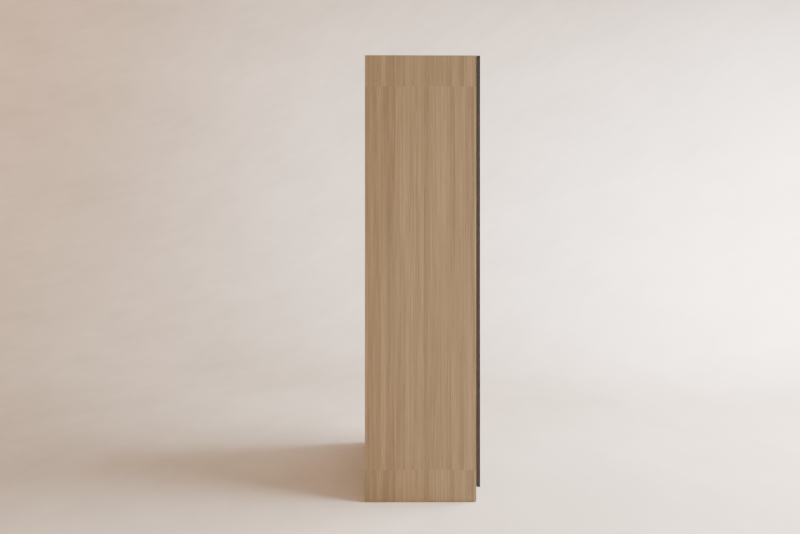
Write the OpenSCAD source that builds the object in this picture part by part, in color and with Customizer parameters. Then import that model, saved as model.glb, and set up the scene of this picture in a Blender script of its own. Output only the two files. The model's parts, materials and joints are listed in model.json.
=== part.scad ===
// Tall two-door pantry cabinet. A veneered carcass stands on levelling feet. Two full-height
// overlay doors hang on concealed cup hinges, and each of the two bays holds shelves.
// Origin: middle of the footprint, on the floor. The doors face -Y and +Z is up.

/* [Cabinet] */
// Overall width across the side veneers
cabinet_w = 1200; // [1000:10:1400]
// Overall height from the floor to the top
cabinet_h = 2320; // [2250:10:2500]
// Overall depth with the doors closed
cabinet_d = 600; // [560:5:650]

/* [Boards] */
// Thickness of the carcass boards and shelves
board_t = 18; // [17:1:22]
// Thickness of the back panels
back_t = 6; // [4:1:8]
// Thickness of the front edge bands
band_t = 1; // [0.5:0.5:2]
// Thickness of the veneer on the outer sides
leaf_t = 0.8; // [0.6:0.1:1.2]

/* [Side veneer] */
// Length of the long middle leaf
main_leaf_h = 1990; // [1900:10:2000]
// Height of the short leaf above it
top_leaf_h = 162; // [100:1:180]

/* [Doors] */
// Thickness of a door
door_t = 18; // [16:1:19]
// Space between a closed door and the carcass
door_gap = 2.5; // [2.5:0.1:3]
// Distance from the outer side to the door's hinge edge
reveal = 1.5; // [1.5:0.1:2]
// Space between the two doors
meeting_gap = 3; // [3:1:6]
// Distance from the cabinet's top down to the doors
top_drop = 0; // [0:1:5]
// Width of the finger-pull profile on each door
pull_w = 32; // [30:1:40]

/* [Hinges] */
// Hinges on each door, an odd number
hinge_count = 5; // [3:2:5]
// Distance from a door's end to its nearest hinge
hinge_end = 100; // [80:5:120]

/* [Base] */
// Height of the open base below the bottom panel
plinth_h = 78; // [75:1:120]
// Setback of the plinth from the carcass front
plinth_setback = 20; // [10:1:50]
// Height of the sides above the floor
foot_rise = 3; // [2:1:5]

/* [Interior] */
// Shelves in each bay, the third one is fixed
shelf_count = 5; // [4:1:6]
// Clear height of the lowest compartment
lower_clear = 420; // [350:10:450]
// Setback of the shelves from the carcass front
shelf_setback = 22; // [20:1:60]

/* [Hidden] */
$fn = 48;
oak = "#a5886a";
oak_edge = "#b09374";
charcoal = "#544c46";
white = "#e8e6e0";
steel = "#b9bcbf";
dark_steel = "#57534f";
nylon = "#2e2d2c";

half_w = cabinet_w / 2;
back_y = cabinet_d / 2;
front_y = -cabinet_d / 2;
door_back_y = front_y + door_t;
carcass_y = door_back_y + door_gap;
board_y = carcass_y + band_t;
core_x = half_w - leaf_t;
wall_x = core_x - board_t;
mid_x = board_t / 2;
floor_z = plinth_h + board_t;
roof_z = cabinet_h - board_t;
top_seam_z = cabinet_h - top_leaf_h;
low_seam_z = top_seam_z - main_leaf_h;

// back panel, held in grooves in front of the rails
rail_t = 18;
groove_d = 8;
back_y1 = back_y - rail_t;
back_y0 = back_y1 - back_t;
rail_h = 100;
rebate = (board_t - back_t) / 2;

// shelves: the fixed one sits just above the middle hinge, and the others share the rest
fixed_shelf = 3;
plate_half_z = 26;
fixed_z = (plinth_h + cabinet_h - top_drop) / 2 + plate_half_z + 6;
low_step = (fixed_z - floor_z - lower_clear) / (fixed_shelf - 1);
high_step = (roof_z - fixed_z) / (shelf_count - fixed_shelf + 1);
shelf_y0 = carcass_y + shelf_setback;
shelf_y1 = back_y0 - 2;
shelf_play = 1;
loose_shelves = [for (i = [1 : shelf_count]) if (i != fixed_shelf) i];
pin_inset = 40;
pin_ys = [shelf_y0 + pin_inset, shelf_y1 - pin_inset];
peg_r = 2.5;
peg_len = 8;
nose_r = 3.5;
nose_len = 10;
hole_pitch = 32;

// board joints
fitting_ys = [carcass_y + 70, (carcass_y + back_y0) / 2, back_y0 - 50];
dowel_ys = [(fitting_ys[0] + fitting_ys[1]) / 2, (fitting_ys[1] + fitting_ys[2]) / 2];
cam_x = 34;
cam_r = 7.5;
cam_deep = 12.5;
bolt_r = 3;
bolt_deep = 8;
dowel_r = 4;
dowel_out = 22;
screw_r = 2.5;
long_screw_r = 3.5;
long_screw_len = 50;

// doors
door_z0 = plinth_h;
door_z1 = cabinet_h - top_drop;
door_x0 = -half_w + reveal;
door_x1 = -meeting_gap / 2;
panel_x1 = door_x1 - pull_w;
tongue_len = 10;
tongue_t = 3;
web = 2.5;
lip = 12;
lip_return = [1.5, 2];
bumper_x = 60;
bumper_r = 5;
rest_gap = 0.3;

// magnetic catch and wall fixing
catch_x = 90;
catch_half = 20;
strike_half = 15;
strike_t = 1;
wall_hole_x = 450;
wall_hole_r = 3;
washer_r = 11;
washer_t = 3;

// hinges, the pivot lies inside the door so that its edge clears the side
pivot_in = 6.5;
pivot_deep = 9;
pivot_x = door_x0 + pivot_in;
pivot_y = door_back_y - pivot_deep;
hinge_step = (door_z1 - door_z0 - 2 * hinge_end) / (hinge_count - 1);
hinge_zs = [for (i = [0 : hinge_count - 1]) door_z0 + hinge_end + i * hinge_step];
cup_r = 17.5;
cup_wall = 0.6;
cup_deep = 13;
cup_edge = 3;
cup_in = cup_edge + cup_r - pivot_in;
flange_t = 1;
flange_r = 18.3;
ear_in = 6;
ear_z = 22.5;
ear_r = 6;
pivot_r = 1.25;
eye_r = 2.1;
eye_play = 0.05;
arm_half = 3.8;
lug_z0 = 4.2;
lug_z1 = 7.2;
lug_x = [-1.9, 2.5];
lug_top = 2.5;
cup_screw_r = 1.75;
cup_screw_deep = 11;
cup_head_r = 3.5;
cup_head_t = 1.2;
strip_half = 1;
riser_x = 14.5;
riser_y1 = carcass_y + 12;
plate_y = carcass_y + 37;
plate_t = riser_x - strip_half - (leaf_t + board_t - reveal - pivot_in);
plate_half = 8;
plate_pitch = 32;
plate_screw_deep = 11;
plate_head_r = 4;
plate_head_t = 2;
arm_y0 = carcass_y + 6;
arm_y1 = carcass_y + 60;
arm_h = 10;
arm_half_z = 7.5;

// levelling feet
foot_ys = [carcass_y + plinth_setback + board_t + 42, back_y1 - 43];
foot_x = wall_x - 27;
disc_r = 20;
disc_t = 5;
disc_chamfer = [4, 2];
stem_r = 5;
stem_play = 0.05;
stem_top_gap = 6;
block_z0 = disc_t + 1;
block_r = 22;
block_flange = [50, 80, 6];
block_screw_y = 32;
block_screw_deep = 12;

// underside of shelf i
function shelf_z(i) = i < fixed_shelf
    ? floor_z + lower_clear + (i - 1) * low_step
    : fixed_z + (i - fixed_shelf) * high_step;

SIDES = ["left", "right"];
FEET = ["left", "middle", "right"];
ENDS = ["front", "rear"];

// ---- helpers: everything is drawn for the left half and mirrored for the right ----

module block(x, y, z)
    translate([x[0], y[0], z[0]])
        cube([x[1] - x[0], y[1] - y[0], z[1] - z[0]]);

module on_side(side) {
    if (side == "left") children();
    else mirror([1, 0, 0]) children();
}

module both_sides() for (side = SIDES) on_side(side) children();

module rod_x(x0, x1, r)
    translate([x0, 0, 0]) rotate([0, 90, 0]) cylinder(h = x1 - x0, r = r);

module rod_y(y0, y1, r)
    translate([0, y0, 0]) rotate([-90, 0, 0]) cylinder(h = y1 - y0, r = r);

// ---- board joints ----

// bolt from a wall at x = 0 into the board end on its +X side
module cam_bolt() {
    rod_x(-bolt_deep, 0, screw_r);
    rod_x(0, cam_x - cam_r, bolt_r);
}

module cam_disc(up)
    translate([cam_x, 0, up ? board_t / 2 - cam_deep : -board_t / 2])
        cylinder(h = cam_deep, r = cam_r);

module wall_dowel() rod_x(-bolt_deep, dowel_out, dowel_r);

module at_ys(ys) for (y = ys) translate([0, y, 0]) children();

// both ends of a full-width board whose middle is at height z
module full_ends(z)
    both_sides() translate([-wall_x, 0, z]) children();

// both ends of the fixed shelves
module fixed_ends() {
    z = shelf_z(fixed_shelf) + board_t / 2;
    full_ends(z) children();
    both_sides() translate([-mid_x, 0, z]) mirror([1, 0, 0]) children();
}

module cam_bolts() color(steel) {
    full_ends(roof_z + board_t / 2) at_ys(fitting_ys) cam_bolt();
    full_ends(floor_z - board_t / 2) at_ys(fitting_ys) cam_bolt();
    fixed_ends() at_ys([fitting_ys[0], fitting_ys[2]]) cam_bolt();
}

module cam_discs() color(steel) {
    full_ends(roof_z + board_t / 2) at_ys(fitting_ys) cam_disc(true);
    full_ends(floor_z - board_t / 2) at_ys(fitting_ys) cam_disc(false);
    fixed_ends() at_ys([fitting_ys[0], fitting_ys[2]]) cam_disc(false);
}

module divider_dowels() at_ys(dowel_ys) {
    translate([0, 0, roof_z - dowel_out]) cylinder(h = dowel_out + bolt_deep, r = dowel_r);
    translate([0, 0, floor_z - bolt_deep]) cylinder(h = dowel_out + bolt_deep, r = dowel_r);
}

module dowels() color("#d8b98a") {
    full_ends(roof_z + board_t / 2) at_ys(dowel_ys) wall_dowel();
    full_ends(floor_z - board_t / 2) at_ys(dowel_ys) wall_dowel();
    fixed_ends() at_ys([fitting_ys[1]]) wall_dowel();
    divider_dowels();
}

// screws down through the top and up through the bottom into the divider
module divider_screw() {
    cylinder(h = 3, r1 = 5, r2 = long_screw_r);
    cylinder(h = long_screw_len, r = long_screw_r);
}

module divider_screws() color(steel) at_ys(fitting_ys) {
    translate([0, 0, plinth_h]) divider_screw();
    translate([0, 0, cabinet_h]) mirror([0, 0, 1]) divider_screw();
}

// ---- shelf supports ----

module peg_hole(i)
    for (y = pin_ys) for (k = [-1 : 1])
        translate([0, y, shelf_z(i) - nose_r + k * hole_pitch])
            rod_x(-peg_len, 0, peg_r);

module shelf_pins() color(steel)
    both_sides() for (i = loose_shelves) for (y = pin_ys)
        translate([0, y, shelf_z(i) - nose_r]) {
            translate([-wall_x, 0, 0]) shelf_pin();
            translate([-mid_x, 0, 0]) mirror([1, 0, 0]) shelf_pin();
        }

module shelf_pin() {
    rod_x(-peg_len, 0, peg_r);
    rod_x(0, nose_len, nose_r);
}

// ---- carcass ----

module side_panel(side) color(oak) on_side(side) difference() {
    block([-core_x, -wall_x], [board_y, back_y], [foot_rise, cabinet_h]);
    block([-wall_x - groove_d, -wall_x], [back_y0, back_y1],
          [floor_z - groove_d, roof_z + groove_d]);
    translate([-wall_x, 0, 0]) for (i = loose_shelves) peg_hole(i);
    for (z = [roof_z + board_t / 2, floor_z - board_t / 2]) translate([-wall_x, 0, z]) {
        at_ys(fitting_ys) cam_bolt();
        at_ys(dowel_ys) wall_dowel();
    }
    translate([-wall_x, 0, shelf_z(fixed_shelf) + board_t / 2]) {
        at_ys([fitting_ys[0], fitting_ys[2]]) cam_bolt();
        at_ys([fitting_ys[1]]) wall_dowel();
    }
    for (z = hinge_zs) plate_screws(z);
}

module side_leaf(side, z0, z1) color(oak) on_side(side)
    block([-half_w, -core_x], [carcass_y, back_y], [z0, z1]);

module back_groove(z)
    both_sides() block([-wall_x - groove_d, -rebate], [back_y0, back_y1], z);

module full_board_fittings(z, up) {
    full_ends(z) {
        at_ys(fitting_ys) {
            cam_bolt();
            cam_disc(up);
        }
        at_ys(dowel_ys) wall_dowel();
    }
    divider_dowels();
    divider_screws();
}

module top_panel() color(oak) difference() {
    block([-wall_x, wall_x], [board_y, back_y], [roof_z, cabinet_h]);
    back_groove([roof_z, roof_z + groove_d]);
    full_board_fittings(roof_z + board_t / 2, true);
}

module bottom_panel() color(oak) difference() {
    block([-wall_x, wall_x], [board_y, back_y], [plinth_h, floor_z]);
    back_groove([floor_z - groove_d, floor_z]);
    full_board_fittings(floor_z - board_t / 2, false);
    foot_block_screws();
}

module centre_divider() color(oak) difference() {
    block([-mid_x, mid_x], [board_y, back_y1], [floor_z, roof_z]);
    both_sides() {
        block([-mid_x, -rebate], [back_y0, back_y1], [floor_z, roof_z]);
        translate([-mid_x, 0, 0]) mirror([1, 0, 0]) for (i = loose_shelves) peg_hole(i);
        translate([-mid_x, 0, shelf_z(fixed_shelf) + board_t / 2]) mirror([1, 0, 0]) {
            at_ys([fitting_ys[0], fitting_ys[2]]) cam_bolt();
            at_ys([fitting_ys[1]]) wall_dowel();
        }
    }
    divider_dowels();
    divider_screws();
}

module back_panel(side) color(oak_edge) on_side(side) difference() {
    block([-wall_x - groove_d, -rebate], [back_y0, back_y1],
          [floor_z - groove_d, roof_z + groove_d]);
    wall_hole();
}

module hanging_rail() color(oak_edge) difference() {
    block([-wall_x, wall_x], [back_y1, back_y], [roof_z - rail_h, roof_z]);
    both_sides() wall_hole();
}

module plinth_front() color(charcoal)
    block([-wall_x, wall_x], [carcass_y, carcass_y + board_t] + [1, 1] * plinth_setback,
          [foot_rise, plinth_h]);

module plinth_rear() color(oak_edge)
    block([-wall_x, wall_x], [back_y1, back_y], [foot_rise, plinth_h]);

module shelf(side, i) color(oak) on_side(side) {
    play = i == fixed_shelf ? 0 : shelf_play;
    z = shelf_z(i);
    difference() {
        block([-wall_x + play, -mid_x - play], [shelf_y0 + band_t, shelf_y1], [z, z + board_t]);
        if (i == fixed_shelf) intersection() {
            block([-wall_x, -mid_x], [shelf_y0, shelf_y1], [z, z + board_t]);
            fixed_ends() {
                at_ys([fitting_ys[0], fitting_ys[2]]) {
                    cam_bolt();
                    cam_disc(false);
                }
                at_ys([fitting_ys[1]]) wall_dowel();
            }
        }
    }
}

module panel_edge_bands() color(oak_edge) {
    both_sides() block([-core_x, -wall_x], [carcass_y, board_y], [foot_rise, cabinet_h]);
    block([-mid_x, mid_x], [carcass_y, board_y], [floor_z, roof_z]);
    block([-wall_x, wall_x], [carcass_y, board_y], [roof_z, cabinet_h]);
    block([-wall_x, wall_x], [carcass_y, board_y], [plinth_h, floor_z]);
}

module shelf_edge_bands() color(oak_edge)
    both_sides() for (i = [1 : shelf_count]) {
        play = i == fixed_shelf ? 0 : shelf_play;
        block([-wall_x + play, -mid_x - play], [shelf_y0, shelf_y0 + band_t],
              [shelf_z(i), shelf_z(i) + board_t]);
    }

// ---- wall fixing ----

module wall_hole()
    translate([-wall_hole_x, 0, roof_z - rail_h / 2]) rod_y(back_y0, back_y, wall_hole_r);

module wall_fixing_washers() color(nylon)
    both_sides() translate([-wall_hole_x, 0, roof_z - rail_h / 2]) difference() {
        rod_y(back_y0 - washer_t, back_y0, washer_r);
        rod_y(back_y0 - washer_t, back_y0, wall_hole_r);
    }

// ---- levelling feet ----

module at_feet() {
    both_sides() for (y = foot_ys) translate([-foot_x, y, 0]) children();
    for (y = foot_ys) translate([0, y, 0]) children();
}

module foot_blocks() color(nylon) at_feet() difference() {
    union() {
        translate([0, 0, block_z0]) cylinder(h = plinth_h - block_z0, r = block_r);
        translate([-block_flange[0] / 2, -block_flange[1] / 2, plinth_h - block_flange[2]])
            cube(block_flange);
    }
    translate([0, 0, block_z0]) cylinder(h = plinth_h - block_z0, r = stem_r + stem_play);
    block_screws();
}

module block_screws()
    for (side = [-1, 1]) translate([0, side * block_screw_y, plinth_h - block_flange[2]]) {
        cylinder(h = 2.5, r1 = 4, r2 = 2);
        cylinder(h = block_flange[2] + block_screw_deep, r = 2);
    }

module foot_block_screws() color(steel) at_feet() block_screws();

module foot(x, y) color(nylon) translate([x, y, 0]) {
    cylinder(h = disc_t - disc_chamfer[1], r = disc_r);
    translate([0, 0, disc_t - disc_chamfer[1]])
        cylinder(h = disc_chamfer[1], r1 = disc_r, r2 = disc_r - disc_chamfer[0]);
    translate([0, 0, disc_t]) cylinder(h = plinth_h - disc_t - stem_top_gap, r = stem_r);
}

// ---- concealed hinges ----

module at_hinges() for (z = hinge_zs) translate([0, 0, z]) children();

module plate_screws(z)
    for (side = [-1, 1]) translate([0, plate_y, z + side * plate_pitch / 2]) {
        rod_x(-wall_x - plate_screw_deep, -wall_x + plate_t, screw_r);
        rod_x(-wall_x + plate_t, -wall_x + plate_t + plate_head_t, plate_head_r);
    }

module hinge_plate_screws() color(dark_steel) both_sides() for (z = hinge_zs) plate_screws(z);

module hinge_plates() color(dark_steel) both_sides() difference() {
    at_hinges() {
        block([-wall_x, -wall_x + plate_t], [arm_y0, arm_y1], [-plate_half, plate_half]);
        block([-wall_x, -wall_x + plate_t], [plate_y - plate_half, plate_y + plate_half],
              [-plate_half_z, plate_half_z]);
    }
    for (z = hinge_zs) plate_screws(z);
}

// section through the arm's strip: eye, crank along the cup, riser past the side's edge
module arm_strip() translate([pivot_x, pivot_y]) difference() {
    union() {
        circle(r = eye_r);
        translate([0, -strip_half]) square([riser_x + strip_half, 2 * strip_half]);
        translate([riser_x - strip_half, -strip_half])
            square([2 * strip_half, riser_y1 - pivot_y]);
    }
    circle(r = pivot_r + eye_play);
}

module hinge_arms() color(dark_steel) both_sides() at_hinges() {
    translate([0, 0, -arm_half]) linear_extrude(2 * arm_half) arm_strip();
    block([-wall_x + plate_t, -wall_x + plate_t + arm_h], [arm_y0, arm_y1],
          [-arm_half_z, arm_half_z]);
}

// screw ear outline on the door's back
module cup_outline() {
    circle(r = flange_r);
    translate([ear_in - ear_r, -ear_z]) square([2 * ear_r, 2 * ear_z]);
    for (side = [-1, 1]) translate([ear_in, side * ear_z]) circle(r = ear_r);
}

// the cup's own axes: origin on its axis at the door's back face, +Y out of the door
module in_cup() translate([pivot_x + cup_in, door_back_y, 0]) children();

module hinge_cup() in_cup() difference() {
    union() {
        difference() {
            union() {
                rod_y(-cup_deep, 0, cup_r);
                translate([0, flange_t, 0]) rotate([90, 0, 0])
                    linear_extrude(flange_t) cup_outline();
            }
            rod_y(-cup_deep + cup_wall, flange_t, cup_r - cup_wall);
        }
        for (side = [-1, 1]) on_half(side)
            block(lug_x - [cup_in, cup_in], [-cup_deep, -pivot_deep + lug_top],
                  [lug_z0, lug_z1]);
    }
    translate([-cup_in, -pivot_deep, -lug_z1]) cylinder(h = 2 * lug_z1, r = pivot_r);
    cup_screw_pair();
}

module on_half(side) {
    if (side > 0) children();
    else mirror([0, 0, 1]) children();
}

module cup_screw_pair()
    for (side = [-1, 1]) translate([ear_in, 0, side * ear_z]) {
        rod_y(-cup_screw_deep, flange_t, cup_screw_r);
        rod_y(flange_t, flange_t + cup_head_t, cup_head_r);
    }

module hinge_cups(side) color(dark_steel) on_side(side) at_hinges() hinge_cup();

module cup_screws(side) color(dark_steel) on_side(side) at_hinges() in_cup() cup_screw_pair();

module hinge_pins(side) color(dark_steel) on_side(side) at_hinges()
    translate([pivot_x, pivot_y, -lug_z1]) cylinder(h = 2 * lug_z1, r = pivot_r);

// ---- doors ----

module door_panel(side) color(charcoal) on_side(side) difference() {
    block([door_x0, panel_x1], [front_y, door_back_y], [door_z0, door_z1]);
    tongue();
    at_hinges() in_cup() {
        rod_y(-cup_deep, 0, cup_r);
        cup_screw_pair();
    }
}

module tongue() {
    mid_y = (front_y + door_back_y) / 2;
    block([panel_x1 - tongue_len, panel_x1], [mid_y - tongue_t / 2, mid_y + tongue_t / 2],
          [door_z0, door_z1]);
}

// J-shaped finger pull along the meeting edge: web, front lip with a return, back flange
module pull_profile(side) color(charcoal) on_side(side) {
    block([panel_x1, panel_x1 + web], [front_y, door_back_y], [door_z0, door_z1]);
    block([panel_x1 + web, panel_x1 + lip], [front_y, front_y + web], [door_z0, door_z1]);
    block([panel_x1 + lip - lip_return[0], panel_x1 + lip],
          [front_y + web, front_y + web + lip_return[1]], [door_z0, door_z1]);
    block([panel_x1 + web, door_x1], [door_back_y - web, door_back_y], [door_z0, door_z1]);
    tongue();
}

module bumpers(side) color(white) on_side(side)
    for (z = [cabinet_h - board_t / 2, plinth_h + board_t / 2])
        translate([-bumper_x, 0, z]) rod_y(door_back_y, carcass_y - rest_gap, bumper_r);

// ---- magnetic catch under the top panel ----

module strike_plate(side) color(steel) on_side(side)
    block([-catch_x - strike_half, -catch_x + strike_half],
          [door_back_y, door_back_y + strike_t], [roof_z - 16, roof_z - 2]);

module magnet_catches() color(white) both_sides()
    block([-catch_x - catch_half, -catch_x + catch_half],
          [door_back_y + strike_t + rest_gap, carcass_y + 30], [roof_z - 14, roof_z]);

// ---- nodes ----

for (s = SIDES) {
    side_panel(s);
    side_leaf(s, top_seam_z, cabinet_h);
    side_leaf(s, low_seam_z, top_seam_z);
    side_leaf(s, foot_rise, low_seam_z);
    back_panel(s);
    for (i = [1 : shelf_count])
        shelf(s, i);
    door_panel(s);
    pull_profile(s);
    hinge_cups(s);
    hinge_pins(s);
    cup_screws(s);
    bumpers(s);
    strike_plate(s);
}
top_panel();
bottom_panel();
centre_divider();
plinth_front();
plinth_rear();
hanging_rail();
shelf_pins();
panel_edge_bands();
shelf_edge_bands();
cam_bolts();
cam_discs();
dowels();
divider_screws();
foot_blocks();
foot_block_screws();
wall_fixing_washers();
magnet_catches();
hinge_plates();
hinge_arms();
hinge_plate_screws();
for (c = [0 : 2]) for (e = [0 : 1])
    foot((c - 1) * foot_x, foot_ys[e]);
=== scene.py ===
"""Tall pantry cabinet in a plain studio: looks, stage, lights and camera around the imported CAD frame."""

import json
import math

import bmesh
import bpy
from mathutils import Matrix, Vector

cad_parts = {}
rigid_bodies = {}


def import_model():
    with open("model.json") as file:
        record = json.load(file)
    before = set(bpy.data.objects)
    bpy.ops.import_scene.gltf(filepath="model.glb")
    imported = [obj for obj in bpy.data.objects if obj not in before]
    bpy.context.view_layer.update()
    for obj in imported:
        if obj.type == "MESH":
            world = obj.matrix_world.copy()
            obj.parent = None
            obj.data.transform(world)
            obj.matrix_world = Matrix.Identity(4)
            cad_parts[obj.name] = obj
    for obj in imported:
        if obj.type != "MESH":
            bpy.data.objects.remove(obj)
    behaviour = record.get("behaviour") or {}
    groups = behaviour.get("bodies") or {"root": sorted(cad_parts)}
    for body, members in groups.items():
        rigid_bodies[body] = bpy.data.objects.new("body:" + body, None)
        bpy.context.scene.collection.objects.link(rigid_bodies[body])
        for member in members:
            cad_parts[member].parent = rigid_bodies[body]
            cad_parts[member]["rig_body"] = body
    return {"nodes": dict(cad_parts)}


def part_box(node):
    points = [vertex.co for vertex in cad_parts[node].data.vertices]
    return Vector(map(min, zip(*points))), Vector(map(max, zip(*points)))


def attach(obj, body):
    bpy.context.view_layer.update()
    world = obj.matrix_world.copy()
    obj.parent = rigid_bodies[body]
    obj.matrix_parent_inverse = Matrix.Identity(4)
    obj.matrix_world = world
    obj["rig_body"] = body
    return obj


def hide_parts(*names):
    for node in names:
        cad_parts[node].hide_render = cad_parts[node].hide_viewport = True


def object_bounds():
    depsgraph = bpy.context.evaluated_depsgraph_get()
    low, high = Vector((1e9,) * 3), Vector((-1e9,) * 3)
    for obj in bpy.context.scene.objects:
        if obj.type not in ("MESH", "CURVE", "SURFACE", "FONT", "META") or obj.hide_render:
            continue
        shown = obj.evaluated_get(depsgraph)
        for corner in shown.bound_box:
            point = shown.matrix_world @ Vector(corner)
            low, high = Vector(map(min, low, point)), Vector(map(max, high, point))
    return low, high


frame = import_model()
cad_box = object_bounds()
nodes = frame["nodes"]
SIDES = ("left", "right")

# ---------------------------------------------------------------- sizes, in metres

LOW, HIGH = cad_box
LEAF_LOW, LEAF_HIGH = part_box("left_leaf_main")
TILE = LEAF_HIGH.z - LEAF_LOW.z  # the veneer pattern starts again at each leaf joint
LEAF_STRIP = 0.024  # average width of a veneer strip on a side leaf
BOARD_STRIP = 0.075  # and on the other boards

# ---------------------------------------------------------------- brightness of the wood, as factors

LEAF_TONES = (0.80, 1.10)  # darkest and lightest strip
BOARD_TONES = (0.92, 1.05)
FINE_TONES = (0.90, 1.09)  # finest grain
LEAF_SEEDS = (1.0, 100.0)  # strip pattern at a leaf's bottom end and at its top end

# ---------------------------------------------------------------- colours


def linear(red, green, blue):
    """An sRGB colour in 0-255 as the linear values that shaders take."""

    def channel(value):
        value /= 255
        return value / 12.92 if value <= 0.04045 else ((value + 0.055) / 1.055) ** 2.4

    return (channel(red), channel(green), channel(blue), 1.0)


def scaled(colour, value):
    return tuple(c * value for c in colour[:3]) + (1.0,)


OAK_GOLD = linear(126, 109, 81)
OAK_ROSE = linear(125, 108, 82)
OAK_DARK = linear(92, 70, 48)
OAK_LIGHT = linear(169, 147, 116)
CHARCOAL = linear(48, 48, 49)

# ---------------------------------------------------------------- node-tree helper


class Graph:
    """A material's node tree, with a short call for each kind of node used here."""

    def __init__(self, name):
        self.material = bpy.data.materials.new(name)
        self.material.use_nodes = True
        self.tree = self.material.node_tree
        self.tree.nodes.clear()
        output = self.tree.nodes.new("ShaderNodeOutputMaterial")
        self.shader = self.tree.nodes.new("ShaderNodeBsdfPrincipled")
        self.tree.links.new(self.shader.outputs["BSDF"], output.inputs["Surface"])

    def put(self, socket, value):
        """Links a socket, or sets a plain value."""
        if isinstance(value, bpy.types.NodeSocket):
            self.tree.links.new(value, socket)
        else:
            socket.default_value = value

    def node(self, kind, inputs=(), **properties):
        made = self.tree.nodes.new(kind)
        for name, value in properties.items():
            setattr(made, name, value)
        for key, value in dict(inputs).items():
            self.put(made.inputs[key], value)
        return made

    def math(self, operation, first, second=0.0, third=0.0, clamp=False):
        return self.node(
            "ShaderNodeMath", {0: first, 1: second, 2: third}, operation=operation, use_clamp=clamp
        ).outputs[0]

    def place(self):
        """The place in the shared frame, in metres: its X, Y and Z, and all of it as one socket."""
        coords = self.node("ShaderNodeTexCoord").outputs["Object"]
        parts = self.node("ShaderNodeSeparateXYZ", {0: coords}).outputs
        return {"x": parts[0], "y": parts[1], "z": parts[2], "all": coords}

    def vector(self, x, y, z):
        return self.node("ShaderNodeCombineXYZ", {0: x, 1: y, 2: z}).outputs[0]

    def stretched(self, at, *factors):
        """The place with each axis multiplied by its own factor."""
        return self.vector(*[self.math("MULTIPLY", at[axis], by) for axis, by in zip("xyz", factors)])

    def noise(self, vector, scale, detail=2.0, roughness=0.5):
        made = self.node(
            "ShaderNodeTexNoise",
            {"Vector": vector, "Scale": scale, "Detail": detail, "Roughness": roughness},
        )
        return made.outputs[0]

    def remap(self, value, low, high, to_low=0.0, to_high=1.0, smooth=True):
        return self.node(
            "ShaderNodeMapRange",
            {"Value": value, "From Min": low, "From Max": high, "To Min": to_low, "To Max": to_high},
            interpolation_type="SMOOTHSTEP" if smooth else "LINEAR",
        ).outputs[0]

    def mix(self, factor, first, second, blend="MIX"):
        made = self.node("ShaderNodeMix", data_type="RGBA", blend_type=blend)
        self.put(made.inputs[0], factor)
        self.put(made.inputs[6], first)
        self.put(made.inputs[7], second)
        return made.outputs[2]

    def brighten(self, colour, amount):
        """colour times a grey amount."""
        grey = self.node("ShaderNodeCombineColor", {0: amount, 1: amount, 2: amount}).outputs[0]
        return self.mix(1.0, colour, grey, "MULTIPLY")

    def bump(self, height, distance, strength=1.0, under=None):
        inputs = {"Height": height, "Distance": distance, "Strength": strength}
        if under is not None:
            inputs["Normal"] = under
        return self.node("ShaderNodeBump", inputs).outputs[0]

    def surface(self, **inputs):
        """Sets the shader's sockets, whose names use _ for a space, and returns the material."""
        for key, value in inputs.items():
            self.put(self.shader.inputs[key.replace("_", " ")], value)
        return self.material


# ---------------------------------------------------------------- wood


def strip_colours(g, across, width, seed, tones):
    """Oak in random strips about width metres wide, each with a brightness between the two tones."""
    cells = g.node(
        "ShaderNodeTexVoronoi",
        {"W": g.math("ADD", g.math("DIVIDE", across, width), seed), "Scale": 1.0, "Randomness": 0.7},
        voronoi_dimensions="1D",
    )
    hue, value = g.node("ShaderNodeSeparateColor", {0: cells.outputs["Color"]}).outputs[:2]
    return g.brighten(g.mix(hue, OAK_GOLD, OAK_ROSE), g.remap(value, 0.0, 1.0, *tones, False))


def grain(g, along, across, through, base, figure=1.0):
    """base with straight rift grain: streaks, thin lines and pores. Returns colour, fine streaks, pores."""
    slow = g.vector(g.math("MULTIPLY", across, 5.0), through, g.math("MULTIPLY", along, 0.7))
    drift = g.noise(slow, 1.0)
    bent = g.math("ADD", across, g.math("MULTIPLY", g.math("SUBTRACT", drift, 0.5), 0.010))

    def streaks(width, length, detail, roughness=0.55):
        """Noise that is width metres wide and length metres long."""
        spot = g.vector(
            g.math("DIVIDE", bent, width), g.math("DIVIDE", through, width), g.math("DIVIDE", along, length)
        )
        return g.noise(spot, 1.0, detail, roughness)

    def streak_tones(width, length, detail, spread):
        """Streaks as a factor from 1 - spread to 1 + spread."""
        return g.remap(streaks(width, length, detail), 0.25, 0.75, 1.0 - spread, 1.0 + spread, False)

    broad = streak_tones(0.020, 1.3, 2.0, 0.05 * figure)
    middle = streak_tones(0.0075, 0.7, 3.0, 0.17 * figure)
    thin = streak_tones(0.0035, 0.22, 2.0, 0.18 * figure)
    fine = g.remap(streaks(0.0022, 0.035, 3.0, 0.65), 0.25, 0.75, *FINE_TONES, False)
    tone = g.math("MULTIPLY", g.math("MULTIPLY", broad, middle), g.math("MULTIPLY", thin, fine))
    colour = g.brighten(base, tone)

    dark_line = g.math(
        "MULTIPLY",
        g.remap(streaks(0.0045, 0.9, 1.0), 0.66, 0.76),
        g.remap(streaks(0.06, 0.7, 1.0), 0.42, 0.62),
    )
    colour = g.mix(g.math("MULTIPLY", dark_line, 0.22 * figure), colour, OAK_DARK)
    light_line = g.remap(streaks(0.0032, 1.6, 1.0), 0.69, 0.78)
    colour = g.mix(g.math("MULTIPLY", light_line, 0.40 * figure), colour, OAK_LIGHT)

    pores = g.math(
        "MULTIPLY", g.remap(streaks(0.0005, 0.012, 1.0), 0.60, 0.72), g.remap(middle, 1.02, 0.96)
    )
    colour = g.mix(g.math("MULTIPLY", pores, 0.35), colour, OAK_DARK)
    return colour, fine, pores


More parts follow.
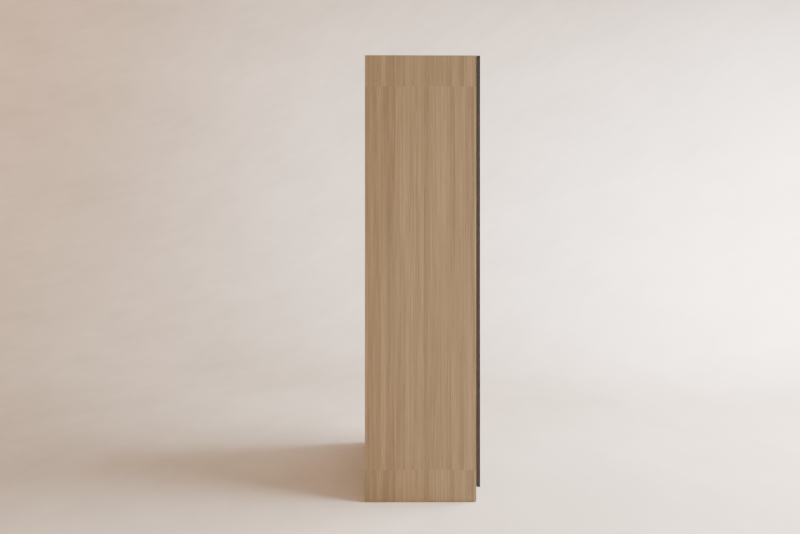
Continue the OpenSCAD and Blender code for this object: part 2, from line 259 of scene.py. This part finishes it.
def finish_wood(g, colour, fine, pores, roughness=0.52):
    """Satin lacquer over the grain, with open pores."""
    height = g.math("SUBTRACT", g.math("MULTIPLY", fine, 0.5), pores)
    between_pores = g.remap(fine, *FINE_TONES, roughness + 0.05, roughness - 0.05)
    return g.surface(
        Base_Color=colour,
        Roughness=g.math("ADD", g.math("MULTIPLY", pores, 0.18), between_pores),
        Normal=g.bump(height, 0.00012, 0.6),
        Specular_IOR_Level=0.42,
        Coat_Weight=0.06,
        Coat_Roughness=0.38,
    )


def side_veneer(name, shift):
    """Side leaf: strips run up it and change slowly on the way. The pattern is moved down by shift metres."""
    g = Graph(name)
    at = g.place()
    along = g.math("SUBTRACT", at["z"], shift)
    height = g.remap(along, LEAF_LOW.z, LEAF_HIGH.z, smooth=False)
    wander = g.noise(g.vector(g.math("MULTIPLY", at["y"], 40.0), along, 0.0), 1.0, 1.0)
    drifted = g.math("ADD", height, g.math("MULTIPLY", g.math("SUBTRACT", wander, 0.5), 0.8))
    low_end, high_end = [strip_colours(g, at["y"], LEAF_STRIP, seed, LEAF_TONES) for seed in LEAF_SEEDS]
    base = g.mix(g.remap(drifted, 0.2, 0.8), low_end, high_end)
    # a little lighter away from the leaf's two ends
    from_middle = g.math("ABSOLUTE", g.math("SUBTRACT", height, 0.5))
    base = g.brighten(base, g.remap(from_middle, 0.5, 0.2, 1.0, 1.05))
    colour, fine, pores = grain(g, along, at["y"], g.math("SIGN", at["x"]), base)
    return finish_wood(g, colour, fine, pores)


def board_wood(name, along_axis, across_axis, through_axis):
    """Oak-faced board: random strips, with the grain along one axis."""
    g = Graph(name)
    at = g.place()
    # boards at different heights or sides differ by where they lie through their thickness
    layer = g.math("FLOOR", g.math("MULTIPLY", at[through_axis], 11.0))
    base = strip_colours(g, at[across_axis], BOARD_STRIP, g.math("MULTIPLY", layer, 7.3), BOARD_TONES)
    along = g.math("ADD", at[along_axis], g.math("MULTIPLY", layer, 1.9))
    colour, fine, pores = grain(g, along, at[across_axis], g.math("MULTIPLY", layer, 0.37), base)
    return finish_wood(g, colour, fine, pores)


def edge_wood(name, along_axis, across_axis):
    """Solid edge band with finer grain than the faces."""
    g = Graph(name)
    at = g.place()
    colour, fine, pores = grain(g, at[along_axis], at[across_axis], 0.5, scaled(OAK_GOLD, 0.98), 0.8)
    return finish_wood(g, colour, fine, pores, 0.5)


def fibreboard(name):
    """Thin back board and rails: pale printed face with fine fibres and soft mottling."""
    g = Graph(name)
    at = g.place()
    base = g.mix(g.noise(at["all"], 9.0, 4.0, 0.6), linear(162, 140, 110), linear(174, 152, 122))
    fibres = g.noise(g.stretched(at, 900.0, 900.0, 240.0), 1.0, 3.0, 0.7)
    flecks = g.remap(g.noise(at["all"], 420.0, 2.0, 0.6), 0.62, 0.70)
    colour = g.brighten(base, g.remap(fibres, 0.3, 0.7, 0.93, 1.05, False))
    colour = g.mix(g.math("MULTIPLY", flecks, 0.35), colour, linear(128, 104, 78))
    return g.surface(
        Base_Color=colour,
        Roughness=g.remap(fibres, 0.3, 0.7, 0.78, 0.66, False),
        Normal=g.bump(fibres, 0.00015, 0.5),
        Specular_IOR_Level=0.35,
    )


# ---------------------------------------------------------------- lacquer, metal and plastic


def edge_highlight_mask(g, radius):
    """1 near a sharp edge and 0 on a flat face: the mask for a painted highlight along edges."""
    soft = g.node("ShaderNodeBevel", {"Radius": radius}, samples=4).outputs[0]
    flat = g.node("ShaderNodeNewGeometry").outputs["Normal"]
    agree = g.node("ShaderNodeVectorMath", {0: soft, 1: flat}, operation="DOT_PRODUCT").outputs["Value"]
    return g.remap(agree, 0.995, 0.85)


def matt_lacquer(name, colour, roughness, speckle=0.04):
    """Sprayed matt lacquer: orange peel, faint mottling and a painted highlight along sharp edges."""
    g = Graph(name)
    at = g.place()
    mottle = g.noise(at["all"], 3.5, 3.0, 0.55)
    grit = g.noise(at["all"], 900.0, 2.0, 0.6)
    peel = g.noise(at["all"], 260.0, 2.0, 0.5)
    tone = g.math(
        "MULTIPLY",
        g.remap(mottle, 0.3, 0.7, 0.965, 1.035, False),
        g.remap(grit, 0.3, 0.7, 1.0 - speckle, 1.0 + speckle, False),
    )
    shade = g.brighten(colour, tone)
    # painted highlight: the lacquer is made lighter along every sharp edge
    shade = g.mix(g.math("MULTIPLY", edge_highlight_mask(g, 0.0012), 0.08), shade, scaled(colour, 1.8))
    return g.surface(
        Base_Color=shade,
        Roughness=g.remap(mottle, 0.3, 0.7, roughness - 0.03, roughness + 0.05, False),
        Normal=g.bump(g.math("ADD", peel, g.math("MULTIPLY", grit, 0.3)), 0.00006, 0.6),
        Specular_IOR_Level=0.24,
    )


def plated_steel(name, colour=linear(196, 196, 193), roughness=0.28):
    """Nickel-plated pressed steel: fine draw lines and cloudy roughness."""
    g = Graph(name)
    at = g.place()
    lines = g.noise(g.stretched(at, 2500.0, 2500.0, 260.0), 1.0, 2.0, 0.6)
    cloud = g.noise(at["all"], 55.0, 3.0, 0.6)
    shade = g.brighten(colour, g.remap(cloud, 0.3, 0.7, 0.93, 1.03, False))
    from_lines = g.remap(lines, 0.3, 0.7, -0.05, 0.05, False)
    from_cloud = g.remap(cloud, 0.3, 0.7, roughness - 0.05, roughness + 0.08, False)
    return g.surface(
        Base_Color=shade,
        Metallic=1.0,
        Roughness=g.math("ADD", from_lines, from_cloud),
        Normal=g.bump(lines, 0.00003, 0.5),
    )


def moulded_plastic(name, colour, roughness=0.5):
    """Injection-moulded plastic: fine spark-eroded texture and faint flow marks."""
    g = Graph(name)
    at = g.place()
    spark = g.noise(at["all"], 1500.0, 2.0, 0.6)
    flow = g.noise(at["all"], 30.0, 2.0, 0.5)
    shade = g.brighten(colour, g.remap(flow, 0.3, 0.7, 0.94, 1.05, False))
    # painted highlight: the plastic is made lighter along every sharp edge
    shade = g.mix(g.math("MULTIPLY", edge_highlight_mask(g, 0.0006), 0.2), shade, scaled(colour, 1.6))
    return g.surface(
        Base_Color=shade,
        Roughness=g.remap(spark, 0.3, 0.7, roughness - 0.06, roughness + 0.08, False),
        Normal=g.bump(spark, 0.00004, 0.6),
    )


# ---------------------------------------------------------------- dressing the CAD nodes


def dress(names, material):
    for name in names:
        slots = nodes[name].data.materials
        slots.clear()
        slots.append(material)


def round_edges(names, width, segments=2):
    """A small round on every sharp edge, so that edges catch the light."""
    for name in names:
        node = nodes[name]
        if "custom_normal" in node.data.attributes:
            node.data.attributes.remove(node.data.attributes["custom_normal"])
        for face in node.data.polygons:
            face.use_smooth = True
        weld = node.modifiers.new("join", "WELD")
        weld.merge_threshold = 1e-6
        bevel = node.modifiers.new("round", "BEVEL")
        bevel.width = width
        bevel.segments = segments
        bevel.limit_method = "ANGLE"
        bevel.angle_limit = math.radians(40)
        bevel.harden_normals = True


def each_side(*endings):
    return [f"{side}_{ending}" for side in SIDES for ending in endings]


veneer = {
    "top": side_veneer("oak_veneer_top", TILE),
    "main": side_veneer("oak_veneer_main", 0.0),
    "bottom": side_veneer("oak_veneer_bottom", -TILE),
}
for part, material in veneer.items():
    dress(each_side(f"leaf_{part}"), material)

upright_oak = board_wood("oak_upright", "z", "y", "x")
flat_oak = board_wood("oak_flat", "x", "y", "z")
shelves = [n for n in nodes if "_shelf_" in n]
dress(each_side("side_panel") + ["centre_divider"], upright_oak)
dress(shelves + ["top_panel", "bottom_panel"], flat_oak)
dress(["panel_edge_bands"], edge_wood("oak_edge_upright", "z", "x"))
dress(["shelf_edge_bands"], edge_wood("oak_edge_flat", "x", "z"))
dress(each_side("back_panel") + ["hanging_rail", "plinth_rear"], fibreboard("back_fibreboard"))
dress(each_side("door_panel") + ["plinth_front"], matt_lacquer("charcoal_lacquer", CHARCOAL, 0.6))
dress(each_side("pull_profile"), matt_lacquer("charcoal_powder_coat", scaled(CHARCOAL, 0.85), 0.58, 0.06))
dark_steel = plated_steel("dark_nickel_steel", linear(88, 84, 80), 0.34)
dress(each_side("hinge_cups", "hinge_pins", "cup_screws"), dark_steel)
dress(["hinge_plates", "hinge_arms", "hinge_plate_screws"], dark_steel)
dress(each_side("strike_plate") + ["shelf_pins", "foot_block_screws"], plated_steel("nickel_steel"))
dress(["cam_bolts", "cam_discs", "divider_screws"], plated_steel("zinc_steel", linear(168, 166, 158), 0.4))
feet = [n for n in nodes if n.startswith("foot_") and not n.startswith("foot_block")]
dress(feet + ["foot_blocks", "wall_fixing_washers"], moulded_plastic("black_nylon", linear(46, 45, 44)))
dress(["magnet_catches"], moulded_plastic("white_plastic", linear(222, 219, 210), 0.45))
dress(each_side("bumpers"), moulded_plastic("clear_bumper", linear(214, 212, 205), 0.25))
dress(["dowels"], edge_wood("beech_dowel", "x", "y"))

round_edges(each_side("door_panel", "pull_profile") + ["plinth_front"], 0.0007)
round_edges(shelves + ["top_panel", "bottom_panel", "centre_divider"], 0.0004)
round_edges(["hanging_rail", "plinth_rear"], 0.0004)
round_edges(["panel_edge_bands", "shelf_edge_bands"], 0.0003)
round_edges(each_side("leaf_top", "leaf_main", "leaf_bottom"), 0.00015, 1)
round_edges(["hinge_arms", "hinge_plates", "magnet_catches", "foot_blocks"] + feet, 0.0005)

# ---------------------------------------------------------------- detailed fittings

UP, DOWN, INTO_CABINET = Vector((0, 0, 1)), Vector((0, 0, -1)), Vector((0, 1, 0))
THREAD_PITCH = 0.0014
THREAD_FLANK = 0.0006  # from a thread's crest to its root, along the screw
THREAD_ROOT = 0.78  # root radius for a crest radius of 1
RECESS_TAPER = 0.72  # size of a cross recess at its bottom for a size of 1 at its top
STEM_RADIUS, STEM_ROOT, STEM_PITCH = 0.005, 0.0044, 0.002  # thread of a levelling foot
ARM_SCREWS = ((0.012, 0.0034), (0.036, 0.0029))  # distance from a hinge arm's rear end, and head radius


def solids(name):
    """Lowest and highest corner of each separate solid in a CAD node."""
    mesh = bmesh.new()
    mesh.from_mesh(nodes[name].data)
    bmesh.ops.remove_doubles(mesh, verts=mesh.verts, dist=1e-6)
    waiting, boxes = set(mesh.verts), []
    for start in mesh.verts:
        if start not in waiting:
            continue
        waiting.discard(start)
        reached, found = [start], []
        while reached:
            here = reached.pop()
            found.append(here.co.copy())
            for edge in here.link_edges:
                there = edge.other_vert(here)
                if there in waiting:
                    waiting.discard(there)
                    reached.append(there)
        boxes.append([Vector([pick(co[k] for co in found) for k in range(3)]) for pick in (min, max)])
    mesh.free()
    return boxes


def facing(box, out):
    """A frame at the box's outer end with its Z pointing out, the box's length that way, and its radius."""
    size, middle = box[1] - box[0], (box[0] + box[1]) / 2
    axis = max(range(3), key=lambda k: abs(out[k]))
    turn = out.to_track_quat("Z", "Y").to_matrix().to_4x4()
    place = Matrix.Translation(middle + out * size[axis] / 2) @ turn
    return place, size[axis], max(size[k] for k in range(3) if k != axis) / 2


def round_box(middle, out, radius, length):
    """The box of a round part whose middle, direction, radius and length are known."""
    half = Vector([length / 2 if abs(out[k]) > 0.5 else radius for k in range(3)])
    return middle - half, middle + half


def turned(mesh, profile, place, steps=24, lobes=0, lobe_depth=0.0, lobe_from=0.0):
    """Turns a profile, rows of radius and height, about the frame's Z, and returns the last ring."""
    last = None
    for radius, height in profile:
        if radius == 0.0:
            ring = [mesh.verts.new(place @ Vector((0, 0, height)))]
        else:
            ring = []
            for k in range(steps):
                turn = 2 * math.pi * k / steps
                cut = lobe_depth * (0.5 - 0.5 * math.cos(lobes * turn)) if radius > lobe_from else 0.0
                point = Vector(((radius - cut) * math.cos(turn), (radius - cut) * math.sin(turn), height))
                ring.append(mesh.verts.new(place @ point))
        if last is not None:
            for k in range(steps):
                after = (k + 1) % steps
                if len(last) == 1:
                    mesh.faces.new((last[0], ring[k], ring[after]))
                elif len(ring) == 1:
                    mesh.faces.new((last[k], ring[0], last[after]))
                else:
                    mesh.faces.new((last[k], ring[k], ring[after], last[after]))
        last = ring
    return last


def cross_recess(mesh, rim, place, reach, half, deep):
    """Closes a flat round face at height 0 with a tapered cross-shaped recess."""
    corners = [(reach, -half), (reach, half), (half, half)]
    loops = []
    for scale, height in ((1.0, 0.0), (RECESS_TAPER, -deep)):
        loop = []
        for quarter in range(4):
            turn = Matrix.Rotation(math.radians(90) * quarter, 3, "Z")
            points = [turn @ Vector((x * scale, y * scale, height)) for x, y in corners]
            loop += [mesh.verts.new(place @ point) for point in points]
        loops.append(loop)
    upper, lower = loops
    edges = [mesh.edges.new((a, b)) for a, b in zip(upper, upper[1:] + upper[:1])]
    edges += [mesh.edges.get((a, b)) for a, b in zip(rim, rim[1:] + rim[:1])]
    bmesh.ops.triangle_fill(mesh, use_beauty=True, edges=edges)
    for k in range(len(upper)):
        after = (k + 1) % len(upper)
        mesh.faces.new((upper[k], upper[after], lower[after], lower[k]))
    mesh.faces.new(lower)


def screw(mesh, box, out, shank, head, domed):
    """Threaded cross-recess screw that fills a box. shank is its radius and head its head's thickness."""
    place, length, radius = facing(box, out)
    profile = [(0.0, -length), (shank * 0.45, -length)]
    height = -length + 2 * shank * 0.6
    while height < -head - 0.0016:
        profile += [(shank, height), (shank * THREAD_ROOT, height + THREAD_FLANK)]
        height += THREAD_PITCH
    profile.append((shank, -head))
    if domed:
        profile += [(radius, -head), (radius, -0.5 * head)]
        profile += [(0.92 * radius, -0.18 * head), (0.74 * radius, 0.0)]
        deep = 0.7 * head
    else:
        profile += [(radius, -0.0002), (0.95 * radius, 0.0)]
        deep = 0.0015
    rim = turned(mesh, profile, place)
    cross_recess(mesh, rim, place, 0.55 * radius, 0.11 * radius, deep)


def chamfered(mesh, low, high, cut):
    """Block with every edge chamfered."""
    size = high - low
    place = Matrix.Translation((low + high) / 2) @ Matrix.Diagonal((size.x, size.y, size.z, 1.0))
    made = bmesh.ops.create_cube(mesh, size=1.0, matrix=place)["verts"]
    edges = list(dict.fromkeys(edge for vert in made for edge in vert.link_edges))
    bmesh.ops.bevel(mesh, geom=edges, offset=cut, segments=2, profile=0.5, affect="EDGES")


def add_piece(name, mesh, body, stands_for=(), material=None):
    """Finishes a mesh as one piece of a body, with the finish of the first node it stands for."""
    bmesh.ops.recalc_face_normals(mesh, faces=mesh.faces)
    data = bpy.data.meshes.new(name)
    mesh.to_mesh(data)
    mesh.free()
    for face in data.polygons:
        face.use_smooth = True
    data.set_sharp_from_angle(angle=math.radians(35))
    data.materials.append(material or nodes[stands_for[0]].data.materials[0])
    piece = bpy.data.objects.new(name, data)
    bpy.context.scene.collection.objects.link(piece)
    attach(piece, body)
    if stands_for:
        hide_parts(*stands_for)


def inwards(box):
    """From the nearer side of the cabinet towards its middle."""
    return Vector((1, 0, 0)) if box[0].x + box[1].x < 0 else Vector((-1, 0, 0))


def nearer_end(box):
    """Up for a part that reaches the top of the cabinet, and down for one lower than that."""
    return UP if box[1].z > HIGH.z - 0.05 else DOWN


def screw_set(name, node, out_of, shank, head, domed, body):
    mesh = bmesh.new()
    for box in solids(node):
        screw(mesh, box, out_of(box), shank, head, domed)
    add_piece(name, mesh, body, (node,))


screw_set(
    "hinge_plate_cross_screws", "hinge_plate_screws", inwards,
    shank=0.0025, head=0.002, domed=True, body="carcass",
)
for side in SIDES:
    screw_set(
        f"{side}_cup_cross_screws", f"{side}_cup_screws", lambda box: INTO_CABINET,
        shank=0.00175, head=0.0012, domed=True, body=f"{side}_door",
    )
screw_set(
    "foot_block_cross_screws", "foot_block_screws", lambda box: DOWN,
    shank=0.002, head=0.0025, domed=False, body="carcass",
)
screw_set(
    "divider_cross_screws", "divider_screws", nearer_end,
    shank=0.0035, head=0.003, domed=False, body="carcass",
)


def cross_cams():
    """Cam discs with a chamfered rim and a cross slot in the open face."""
    mesh = bmesh.new()
    for box in solids("cam_discs"):
        place, length, radius = facing(box, nearer_end(box))
        profile = [
            (0.0, -length), (0.9 * radius, -length), (radius, 0.0007 - length), (radius, -0.0006),
            (0.94 * radius, -0.0001), (0.80 * radius, 0.0),
            (0.76 * radius, -0.0005), (0.55 * radius, -0.0005), (0.5 * radius, 0.0),
        ]
        rim = turned(mesh, profile, place, 32)
        cross_recess(mesh, rim, place, 0.43 * radius, 0.10 * radius, 0.003)
    add_piece("cross_slot_cams", mesh, "carcass", ("cam_discs",))


def arm_screws():
    """The two adjusting screws on the inner face of every hinge arm."""
    mesh = bmesh.new()
    for low, high in solids("hinge_arms"):
        out = inwards((low, high))
        face = high.x if out.x > 0 else low.x
        for back, radius in ARM_SCREWS:
            middle = Vector((face, high.y - back, (low.z + high.z) / 2))
            screw(mesh, round_box(middle, out, radius, 0.0028), out, 0.002, 0.0014, True)
    add_piece("hinge_arm_adjusters", mesh, "carcass", material=dark_steel)


def threaded_foot(name):
    """Levelling foot with a lobed hand wheel and a threaded stem."""
    low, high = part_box(name)
    place = Matrix.Translation(((low.x + high.x) / 2, (low.y + high.y) / 2, low.z))
    radius, tall = (high.x - low.x) / 2, high.z - low.z
    profile = [
        (0.0, 0.0008), (radius - 0.006, 0.0008), (radius - 0.0055, 0.0), (radius - 0.0008, 0.0),
        (radius, 0.0008), (radius, 0.0029), (radius - 0.0014, 0.0041), (radius - 0.0038, 0.0049),
        (0.0085, 0.005), (0.0072, 0.0057), (0.0052, 0.0058),
    ]
    height = 0.0064
    while height < tall - 0.002:
        profile += [(STEM_RADIUS, height), (STEM_RADIUS, height + STEM_PITCH / 4)]
        profile += [(STEM_ROOT, height + STEM_PITCH / 2), (STEM_ROOT, height + STEM_PITCH * 3 / 4)]
        height += STEM_PITCH
    profile += [(0.0046, tall - 0.0006), (0.0040, tall), (0.0, tall)]
    mesh = bmesh.new()
    turned(mesh, profile, place, 60, lobes=12, lobe_depth=0.0016, lobe_from=0.015)
    add_piece(f"threaded_{name}", mesh, nodes[name]["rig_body"], (name,))


def domed_bumpers(side):
    """Door bumpers with a domed face."""
    node = f"{side}_bumpers"
    mesh = bmesh.new()
    for box in solids(node):
        place, length, radius = facing(box, INTO_CABINET)
        profile = [(0.0, -length), (0.94 * radius, -length)]
        profile += [(radius, -0.9 * length), (radius, -0.6 * length)]
        for step in range(1, 6):
            turn = math.radians(90) * step / 5
            profile.append((radius * (0.5 + 0.5 * math.cos(turn)), -0.6 * length * (1 - math.sin(turn))))
        profile.append((0.0, 0.0))
        turned(mesh, profile, place, 32)
    add_piece(f"{side}_domed_bumpers", mesh, f"{side}_door", (node,))


def crossbar(mesh, middle, front, half_width, half_height, depth, cut):
    """Chamfered bar across the cabinet that reaches back from a front face."""
    low = Vector((middle.x - half_width, front, middle.z - half_height))
    high = Vector((middle.x + half_width, front + depth, middle.z + half_height))
    chamfered(mesh, low, high, cut)


def catch_parts():
    """Magnetic catches: housing, two pole plates standing out of its front, and two fixing screws below."""
    housings, poles, screws = bmesh.new(), bmesh.new(), bmesh.new()
    for low, high in solids("magnet_catches"):
        middle = (low + high) / 2
        chamfered(housings, low + Vector((0, 0.0012, 0)), high, 0.0009)
        crossbar(housings, middle, low.y + 0.0004, 0.0125, 0.0012, 0.0036, 0.0003)
        for offset in (-0.0021, 0.0021):
            crossbar(poles, middle + UP * offset, low.y, 0.0135, 0.0007, 0.005, 0.0002)
        for offset in (-0.0135, 0.0135):
            place = Vector((middle.x + offset, middle.y + 0.005, low.z))
            screw(screws, round_box(place, DOWN, 0.003, 0.0026), DOWN, 0.0016, 0.0013, True)
    add_piece("catch_housings", housings, "carcass", ("magnet_catches",))
    nickel = nodes["shelf_pins"].data.materials[0]
    add_piece("catch_poles", poles, "carcass", material=nickel)
    add_piece("catch_cross_screws", screws, "carcass", material=nickel)


cross_cams()
arm_screws()
for foot in feet:
    threaded_foot(foot)
for side in SIDES:
    domed_bumpers(side)
catch_parts()

# ---------------------------------------------------------------- stage

BOWL_RADIUS = 8.0
BOWL_FILLET = 4.5
BOWL_HEIGHT = 7.0
BOWL_STEPS = 96
FILLET_STEPS = 16


def bowl_profile():
    """Radius and height of the backdrop, from the middle of the floor to the top of the wall."""
    flat = BOWL_RADIUS - BOWL_FILLET
    points = [(0.0, 0.0), (flat * 0.5, 0.0), (flat, 0.0)]
    for step in range(1, FILLET_STEPS + 1):
        turn = math.radians(90) * step / FILLET_STEPS
        points.append((flat + BOWL_FILLET * math.sin(turn), BOWL_FILLET * (1 - math.cos(turn))))
    points.append((BOWL_RADIUS, BOWL_HEIGHT))
    return points


def make_backdrop():
    """Seamless round backdrop: floor that curves up into a wall."""
    mesh = bmesh.new()
    rings = []
    for radius, height in bowl_profile():
        if radius == 0.0:
            rings.append([mesh.verts.new((0.0, 0.0, height))])
            continue
        turns = [2 * math.pi * k / BOWL_STEPS for k in range(BOWL_STEPS)]
        rings.append([mesh.verts.new((radius * math.cos(t), radius * math.sin(t), height)) for t in turns])
    for inner, outer in zip(rings, rings[1:]):
        for k in range(BOWL_STEPS):
            after = (k + 1) % BOWL_STEPS
            if len(inner) == 1:
                mesh.faces.new((inner[0], outer[k], outer[after]))
            else:
                mesh.faces.new((inner[k], outer[k], outer[after], inner[after]))
    data = bpy.data.meshes.new("backdrop")
    mesh.to_mesh(data)
    mesh.free()
    for face in data.polygons:
        face.use_smooth = True
    backdrop = bpy.data.objects.new("backdrop", data)
    bpy.context.scene.collection.objects.link(backdrop)
    data.materials.append(plaster("plaster"))


def plaster(name):
    """Pale plaster with painted shade that makes it browner and darker towards the cabinet's back, and faint
    trowel clouds that slant up the wall.
    """
    g = Graph(name)
    at = g.place()
    y, z = at["y"], at["z"]
    along = g.math("SUBTRACT", g.math("MULTIPLY", z, 0.5), g.math("MULTIPLY", y, 0.87))
    across = g.math("ADD", g.math("MULTIPLY", z, 0.87), g.math("MULTIPLY", y, 0.5))

    def clouds(length, width, detail, amount):
        """Noise as a factor around 1, with clouds length metres long and width metres wide."""
        spot = g.vector(
            g.math("DIVIDE", along, length),
            g.math("DIVIDE", across, width),
            g.math("DIVIDE", at["x"], length),
        )
        return g.remap(g.noise(spot, 1.0, detail, 0.6), 0.3, 0.7, 1.0 - amount, 1.0 + amount, False)

    tone = g.math("MULTIPLY", clouds(1.1, 0.6, 4.0, 0.06), clouds(0.45, 0.12, 4.0, 0.045))
    # painted shade: the plaster colour darkens and browns towards +y, standing in for less light on that side
    # of the stage
    painted_shade_tint = g.mix(g.remap(y, 1.4, 6.0), linear(224, 209, 195), linear(199, 177, 156))
    return g.surface(
        Base_Color=g.brighten(painted_shade_tint, tone),
        Roughness=0.85,
        Specular_IOR_Level=0.2,
    )


def area_light(name, place, target, width, height, power, colour, spread=180.0):
    data = bpy.data.lights.new(name, "AREA")
    data.shape = "RECTANGLE"
    data.size, data.size_y = width, height
    data.energy = power
    data.color = colour
    data.spread = math.radians(spread)
    light = bpy.data.objects.new(name, data)
    light.location = place
    light.rotation_euler = (Vector(target) - Vector(place)).to_track_quat("-Z", "Y").to_euler()
    light.visible_camera = False
    bpy.context.scene.collection.objects.link(light)


def make_world(colour, strength):
    world = bpy.data.worlds.new("studio")
    world.use_nodes = True
    sky = world.node_tree.nodes["Background"]
    sky.inputs["Color"].default_value = colour
    sky.inputs["Strength"].default_value = strength
    bpy.context.scene.world = world


make_backdrop()
make_world((1.0, 0.964, 0.77, 1.0), 0.40)
area_light("key", (-0.55, -4.9, 3.4), (-1.0, 0.3, 0.6), 5.8, 2.6, 1450.0, (1.0, 0.962, 0.954))
area_light("backdrop_wash", (1.4, -4.8, 3.3), (8.0, -3.9, 1.4), 3.0, 3.0, 790.0, (0.90, 0.925, 1.0), 114.0)

# ---------------------------------------------------------------- camera

SENSOR = 36.0
LENS = 30.0
EYE_HEIGHT = 1.221
STAND_OFF = 3.457  # from the near side
FROM_BACK = 0.159  # in front of the back face
YAW = math.radians(0.4)  # turned towards the doors

lens = bpy.data.cameras.new("camera")
lens.sensor_width = SENSOR
lens.lens = LENS
camera = bpy.data.objects.new("camera", lens)
camera.location = (LOW.x - STAND_OFF, HIGH.y - FROM_BACK, EYE_HEIGHT)
camera.rotation_euler = (math.radians(90), 0.0, math.radians(-90) - YAW)
bpy.context.scene.collection.objects.link(camera)
bpy.context.scene.camera = camera
